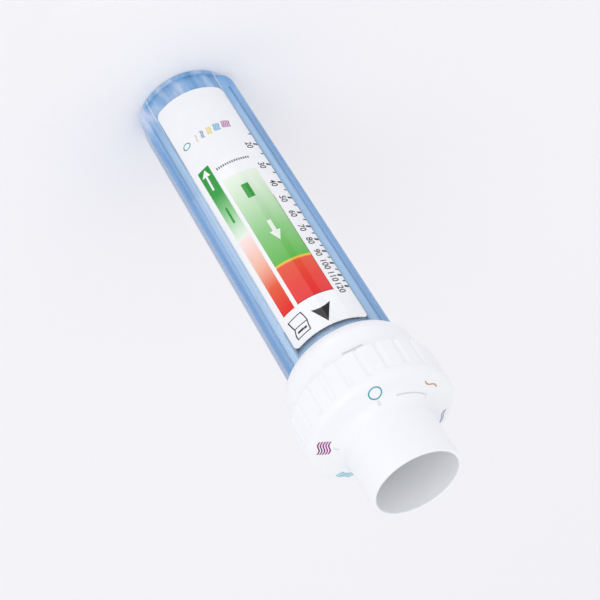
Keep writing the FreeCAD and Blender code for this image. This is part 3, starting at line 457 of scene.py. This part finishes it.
LEAF = [(5.55, 107.31), (5.2, 108.8), (4.97, 110.66), (5.27, 112.22), (5.44, 114.12),
        (9.73, 114.27), (9.78, 112.84), (9.28, 111.04), (9.61, 109.33), (9.92, 107.51)]
leaflet = [line(LEAF[turn], LEAF[(turn + 1) % len(LEAF)], 0.32) for turn in range(len(LEAF))]
leaflet += [line((5.0, 110.85), (9.25, 110.85), 0.3), line((8.6, 112.55), (7.3, 112.5), 0.7),
            line((6.5, 112.58), (6.3, 112.58), 0.7)]
print_on(join("leaflet_mark", leaflet), "scale_label", "Y", "meter_body", dark_ink)


# Setting marks on the label
# Small coloured marks at the far end repeat the six marks of the dial: a ring for the free port,
# and one to five waves for the rising resistances. A row of tiny ticks stands before the bars.
INKS = {"ring": gloss_film("ink_teal", "#35A1B2"), 1: gloss_film("ink_orange", "#CB9A74"),
        2: gloss_film("ink_grey_blue", "#7C93B4"), 3: gloss_film("ink_yellow", "#EFDB62"),
        4: gloss_film("ink_cyan", "#56BFDA"), 5: gloss_film("ink_purple", "#922A82")}


def waves(count, length, pitch, swing, stroke):
    """Stacked wavy strokes in the xy plane, round the origin, that run along x. In millimetres."""
    pieces = []
    for row in range(count):
        offset = (row - (count - 1) / 2) * pitch
        # The outer strokes of a full stack are shorter, as if cut by a circle.
        half = length / 2 * math.sqrt(1 - min(0.5, (offset / (length * 0.85)) ** 2))
        deselect()
        bpy.ops.mesh.primitive_grid_add(x_subdivisions=22, y_subdivisions=2, size=1)
        piece = bpy.context.object
        for vertex in piece.data.vertices:
            x = vertex.co.x * 2 * half
            bend = -math.sin(x / length * 2 * math.pi * 1.15) * swing
            vertex.co = (x * MM, (vertex.co.y * stroke + bend + offset) * MM, 0)
        pieces.append(piece)
    return join("waves", pieces)


def ring(radius, stroke):
    """A flat ring in the xy plane, round the origin. In millimetres."""
    deselect()
    bpy.ops.mesh.primitive_circle_add(vertices=48, radius=radius * MM, fill_type="NGON")
    piece = bpy.context.object
    bpy.ops.object.mode_set(mode="EDIT")
    bpy.ops.mesh.select_all(action="SELECT")
    bpy.ops.mesh.inset(thickness=stroke * MM, depth=0)
    bpy.ops.mesh.delete(type="FACE")
    bpy.ops.object.mode_set(mode="OBJECT")
    return piece


# On the label the single wave is beige, and cyan and purple are printed brighter than on the dial.
LABEL_INKS = dict(INKS)
LABEL_INKS.update({1: gloss_film("ink_beige", "#D9D3B4"), 4: gloss_film("ink_sky_blue", "#3DA8D2"),
                   5: gloss_film("ink_pink_purple", "#B23C9C")})
MARKS = [("ring", -31.7, 28.0), (1, -17.4, 28.0), (2, -9.7, 27.8), (3, -0.9, 27.7),
         (4, 8.7, 27.4), (5, 20.3, 27.0)]
for kind, angle, height in MARKS:
    mark = ring(1.3, 0.34) if kind == "ring" else waves(kind, 3.3, 0.56, 0.2, 0.32)
    # The strokes run up the label and stack across it.
    mark.matrix_world = Matrix(((0, -1, 0, at_angle(angle) * MM), (0, 0, -1, BEFORE),
                                (1, 0, 0, height * MM), (0, 0, 0, 1)))
    shape_mesh(mark)
    mark.name = f"label_mark_{kind}"
    print_on(mark, "scale_label", "Y", "meter_body", LABEL_INKS[kind])
tick_places = [at_angle(-15.8 + step * 2.7) for step in range(15)]
ticks = [patch("tick", place - 0.19, place + 0.19, 43.2, 44.1, 1) for place in tick_places]
print_on(join("tick_row", ticks), "scale_label", "Y", "meter_body", dark_ink)


# White mouldings
# The collar, the dial with its mouthpiece, the port plate and the aperture disc are injection
# moulded in white ABS. The tool leaves a fine satin grain and a trace of flow, and handling
# polishes it a little unevenly.
abs_white = new_material("white_moulded_abs")
coords = add(abs_white, "TexCoord").outputs["Object"]
# Satin grain of the tool, drawn at 0.35 mm so that it shows.
grain = add(abs_white, "TexNoise", {"Vector": coords, "Scale": 2800.0, "Detail": 3.0})
bump = add(abs_white, "Bump", {"Strength": 0.12, "Distance": 0.01 * MM, "Height": grain})
# Handling changes the gloss in patches of about 15 mm.
wear = add(abs_white, "TexNoise", {"Vector": coords, "Scale": 65.0, "Detail": 4.0})
gloss = add(abs_white, "MapRange", {"Value": wear, "From Min": 0.3, "From Max": 0.7,
                                    "To Min": 0.30, "To Max": 0.42})
tone = add(abs_white, "Mix", {0: wear, 6: linear("#F7F8FA"), 7: linear("#F1F3F6")},
           data_type="RGBA")
shader = add(abs_white, "BsdfPrincipled", {
    "Base Color": tone.outputs[2], "Roughness": gloss, "IOR": 1.54, "Normal": bump})
add(abs_white, "OutputMaterial", {"Surface": shader})
dress(abs_white, "neck_collar", "dial_shell", "aperture_disc", "port_plate")


# Dial symbols
# The same ring and waves, pad printed on the sloping face of the dial, one every 57.5 degrees,
# with a small pale number on the mouthpiece side of each. A pale grey arc lies on the face from the
# first towards the second. The index rib of the collar carries a pale line.
SYMBOL_RADIUS, NUMBER_RADIUS, ARC_RADIUS = 19.15, 16.0, 16.2
SETTING_STEP, FIRST_SETTING = 57.5, -2.5  # degrees round the dial
ABOVE = 155 * MM  # this artwork is drawn level, above the sloping face, and then laid on it
pale_ink = gloss_film("ink_pale_grey", "#D9DBDF")
for setting in range(6):
    angle = math.radians(SETTING_STEP * setting + FIRST_SETTING)
    outward = Vector((-math.sin(angle), -math.cos(angle), 0))
    # Strokes run round the dial and stack along its radius.
    around = Vector((-outward.y, outward.x, 0))
    kind = setting or "ring"
    symbol = ring(2.1, 0.4) if kind == "ring" else waves(kind, 5.9, 0.74, 0.32, 0.42)
    place = outward * SYMBOL_RADIUS * MM + Vector((0, 0, ABOVE))
    symbol.matrix_world = Matrix(((-around.x, -outward.x, 0, place.x),
                                  (-around.y, -outward.y, 0, place.y),
                                  (0, 0, 1, place.z), (0, 0, 0, 1)))
    shape_mesh(symbol)
    symbol.name = f"dial_symbol_{kind}"
    print_on(symbol, "dial_shell", "Z", "dial_head", INKS[kind])
    digit = lettering(str(setting), 1.2)
    place = outward * NUMBER_RADIUS * MM + Vector((0, 0, ABOVE))
    digit.matrix_world = Matrix(((-around.x, outward.x, 0, place.x),
                                 (-around.y, outward.y, 0, place.y),
                                 (0, 0, 1, place.z), (0, 0, 0, 1)))
    shape_mesh(digit)
    digit.name = f"dial_number_{setting}"
    print_on(digit, "dial_shell", "Z", "dial_head", pale_ink)
ARC_START, ARC_STEP = 18, 2  # degrees round the dial
arc = []
for step in range(18):
    angle = math.radians(ARC_START + step * ARC_STEP)
    place = Vector((-math.sin(angle), -math.cos(angle), 0)) * ARC_RADIUS * MM
    deselect()
    bpy.ops.mesh.primitive_plane_add(size=1)
    piece = bpy.context.object
    piece.matrix_world = (Matrix.Translation((place.x, place.y, ABOVE))
                          @ Matrix.Rotation(-angle, 4, "Z")
                          @ Matrix.Diagonal((0.6 * MM, 0.3 * MM, 1, 1)))
    shape_mesh(piece)
    arc.append(piece)
print_on(join("dial_arc", arc), "dial_shell", "Z", "dial_head", pale_ink)
print_on(patch("index_line", -2.9, 3.4, 133.0, 133.6, 6), "neck_collar", "Y", "meter_body",
         pale_ink)


# Return spring
# Round spring wire of 0.6 mm, coiled in ten open turns and left bright, that pushes the vane back
# to zero. It stands on the vane and closes up towards the outlet as the vane rises.
WIRE_RADIUS, COIL_RADIUS = 0.3 * MM, 3.7 * MM
TURNS = 10
low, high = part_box("return_spring")
rise = high[2] - low[2] - 2 * WIRE_RADIUS
deselect()
bpy.ops.mesh.primitive_circle_add(vertices=10, radius=WIRE_RADIUS, fill_type="NOTHING",
                                  location=(COIL_RADIUS, 0, low[2] + WIRE_RADIUS),
                                  rotation=(math.radians(90), 0, 0))
coil = bpy.context.object
coil.name = "spring_coil"
shape_mesh(coil)
screw = coil.modifiers.new("wind", "SCREW")
screw.axis = "Z"
screw.angle = 2 * math.pi
screw.screw_offset = rise / TURNS
screw.iterations = TURNS
screw.steps = screw.render_steps = 40
screw.use_merge_vertices = False
bpy.ops.object.modifier_apply(modifier="wind")
bpy.ops.object.mode_set(mode="EDIT")
bpy.ops.mesh.select_all(action="SELECT")
bpy.ops.mesh.fill_holes(sides=12)
bpy.ops.mesh.normals_make_consistent(inside=False)
bpy.ops.object.mode_set(mode="OBJECT")
bpy.ops.object.shade_smooth_by_angle(angle=math.radians(40))


def metal(name, colour, roughness, scale, streak):
    """Bare metal with fine marks of its making and uneven gloss."""
    material = new_material(name)
    place = add(material, "TexCoord").outputs["Object"]
    stretched = add(material, "Mapping", {"Vector": place, "Scale": streak})
    marks = add(material, "TexNoise", {"Vector": stretched, "Scale": scale, "Detail": 4.0})
    bump = add(material, "Bump", {"Strength": 0.1, "Distance": 0.01 * MM, "Height": marks})
    uneven = add(material, "MapRange", {"Value": marks, "To Min": roughness * 0.8,
                                        "To Max": roughness * 1.3})
    shade = [part * 0.85 for part in linear(colour)[:3]] + [1.0]
    tone = add(material, "Mix", {0: marks, 6: linear(colour), 7: shade}, data_type="RGBA")
    skin = add(material, "BsdfPrincipled", {"Base Color": tone.outputs[2], "Metallic": 1.0,
                                            "Roughness": uneven, "Normal": bump})
    add(material, "OutputMaterial", {"Surface": skin})
    return material


spring_steel = metal("bright_spring_steel", "#B9BCC0", 0.25, 1500.0, (1, 1, 1))
coil.data.materials.append(spring_steel)
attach(coil, "meter_body")
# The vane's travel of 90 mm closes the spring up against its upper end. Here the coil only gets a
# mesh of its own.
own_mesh(coil)
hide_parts("return_spring")
dress(spring_steel, "return_spring", "detent_spring", "dial_spring", "rod_clip", "dial_clip")


# Guide rod, reset weight and iron rings
# The rod is ground stainless steel, the weight a turned steel sleeve, and the parking ring and the
# band on the cursor soft iron with a thin dull plating. The ring magnet is dark sintered ferrite.
dress(metal("ground_stainless_rod", "#C4C6C8", 0.18, 900.0, (1, 1, 8)), "guide_rod")
dress(metal("turned_steel_weight", "#8C9096", 0.3, 700.0, (1, 1, 9)), "weight_sleeve")
dress(metal("plated_soft_iron", "#9A9C9E", 0.4, 900.0, (1, 1, 1)), "parking_ring",
      "cursor_keeper")


def dull(name, colour, shade, roughness, ior, scale, relief):
    """Plastic, rubber or ceramic with a fine grain in colour and surface."""
    material = new_material(name)
    place = add(material, "TexCoord").outputs["Object"]
    grain = add(material, "TexNoise", {"Vector": place, "Scale": scale, "Detail": 4.0})
    bump = add(material, "Bump", {"Strength": relief, "Distance": 0.02 * MM, "Height": grain})
    uneven = add(material, "MapRange", {"Value": grain, "To Min": roughness * 0.85,
                                        "To Max": roughness * 1.15})
    tone = add(material, "Mix", {0: grain, 6: linear(colour), 7: linear(shade)},
               data_type="RGBA")
    skin = add(material, "BsdfPrincipled", {"Base Color": tone.outputs[2], "Roughness": uneven,
                                            "IOR": ior, "Normal": bump})
    add(material, "OutputMaterial", {"Surface": skin})
    return material


dress(dull("sintered_ferrite", "#2B2C2F", "#3A3B3E", 0.6, 1.8, 2200.0, 0.2), "ring_magnet")


# Piston, cursor and their supports
# The vane is white acetal and its bush black acetal, slippery and satin. The cursor is bright red
# polystyrene, so that it reads through the tube, and the inlet cap and rod supports are grey ABS.
dress(dull("white_acetal", "#EDEEEC", "#E4E6E4", 0.35, 1.48, 1500.0, 0.1), "piston_vane")
dress(dull("black_acetal", "#1C1D1F", "#26272A", 0.38, 1.48, 1500.0, 0.1), "piston_bush")
dress(dull("red_polystyrene", "#D6221F", "#C41C1A", 0.3, 1.59, 900.0, 0.08), "cursor_ring")
dress(dull("grey_abs", "#AEB6BF", "#A2ABB5", 0.4, 1.54, 1800.0, 0.15), "inlet_cap",
      "inlet_spider", "outlet_spider")
dress(dull("black_nitrile_rubber", "#1B1B1C", "#262627", 0.75, 1.52, 2400.0, 0.3),
      "zero_buffer", "stop_buffer", "port_seal")


# Metering tube
# Extruded clear acrylic with a milled slot. It is close to water clear and shows by its gloss and
# by the faint lines that the extruder leaves along it.
acrylic = new_material("clear_acrylic")
coords = add(acrylic, "TexCoord").outputs["Object"]
drawn = add(acrylic, "Mapping", {"Vector": coords, "Scale": (1, 1, 0.02)})
lines = add(acrylic, "TexNoise", {"Vector": drawn, "Scale": 1800.0, "Detail": 2.0})
bump = add(acrylic, "Bump", {"Strength": 0.05, "Distance": 0.01 * MM, "Height": lines})
cloud = add(acrylic, "MapRange", {"Value": lines, "To Min": 0.08, "To Max": 0.18})
shader = add(acrylic, "BsdfPrincipled", {
    "Base Color": linear("#E6F0F8"), "Roughness": 0.06, "IOR": 1.49, "Alpha": cloud,
    "Normal": bump})
add(acrylic, "OutputMaterial", {"Surface": shader})
dress(acrylic, "metering_tube")


# Floor, light and camera
# A plain pale floor a hair below the foot, white light from all round, two broad soft boxes before
# the object, and two narrow ones low down that the label's laminate mirrors.
deselect()
bpy.ops.mesh.primitive_plane_add(size=6, location=(0, 0, -0.0003))
floor = bpy.context.object
floor.name = "floor"
shape_mesh(floor)
paper = new_material("pale_paper_floor")
coords = add(paper, "TexCoord").outputs["Object"]
fibre = add(paper, "TexNoise", {"Vector": coords, "Scale": 900.0, "Detail": 3.0})
tone = add(paper, "Mix", {0: fibre, 6: linear("#F9F8FA"), 7: linear("#F6F5F8")},
           data_type="RGBA")
shader = add(paper, "BsdfPrincipled", {"Base Color": tone.outputs[2], "Roughness": 0.85})
add(paper, "OutputMaterial", {"Surface": shader})
floor.data.materials.append(paper)

world = bpy.data.worlds.new("studio")
world.use_nodes = True
world.node_tree.nodes["Background"].inputs["Color"].default_value = linear("#FBFBFD")
world.node_tree.nodes["Background"].inputs["Strength"].default_value = 0.94
bpy.context.scene.world = world


def soft_box(name, place, target, width, height, power):
    """A soft rectangular light that faces a target. In metres and watts."""
    light = bpy.data.lights.new(name, "AREA")
    light.shape = "RECTANGLE"
    light.size, light.size_y = width, height
    light.energy = power
    lamp = bpy.data.objects.new(name, light)
    bpy.context.scene.collection.objects.link(lamp)
    lamp.location = place
    lamp.rotation_euler = (Vector(target) - Vector(place)).to_track_quat("-Z", "Y").to_euler()
    return lamp


# The laminate mirrors two narrow boxes low before the label. They act on gloss alone.
for low_box in (
        soft_box("left_strip", (0.0093, -0.06, 0.045), (0.0093, 0, 0.045), 0.043, 0.09, 0.015),
        soft_box("right_strip", (-0.056, -0.06, 0.045), (-0.056, 0, 0.045), 0.05, 0.09, 0.01)):
    low_box.visible_camera = low_box.visible_diffuse = False
soft_box("top_box", (0.7, -0.9, 1.5), (0, 0, 0.1), 0.8, 0.8, 2.5)
soft_box("front_box", (0.4, -0.9, 0.5), (0, 0, 0.08), 0.5, 0.5, 0.8)
bpy.context.scene.view_settings.view_transform = "Standard"

# The camera stands as it stood for the photo, by its axes and place.
camera_data = bpy.data.cameras.new("camera")
camera_data.sensor_width = 36.0
camera_data.lens = 100.49
camera = bpy.data.objects.new("camera", camera_data)
bpy.context.scene.collection.objects.link(camera)
right = Vector((-0.89534845, 0.1405596, 0.42260401))
down = Vector((0.41757136, 0.59490842, 0.68681739))
ahead = Vector((-0.1548719, 0.79140822, -0.591344))
camera.matrix_world = Matrix((
    (right.x, -down.x, -ahead.x, 0.079246), (right.y, -down.y, -ahead.y, -0.398394),
    (right.z, -down.z, -ahead.z, 0.391639), (0, 0, 0, 1)))
bpy.context.scene.camera = camera
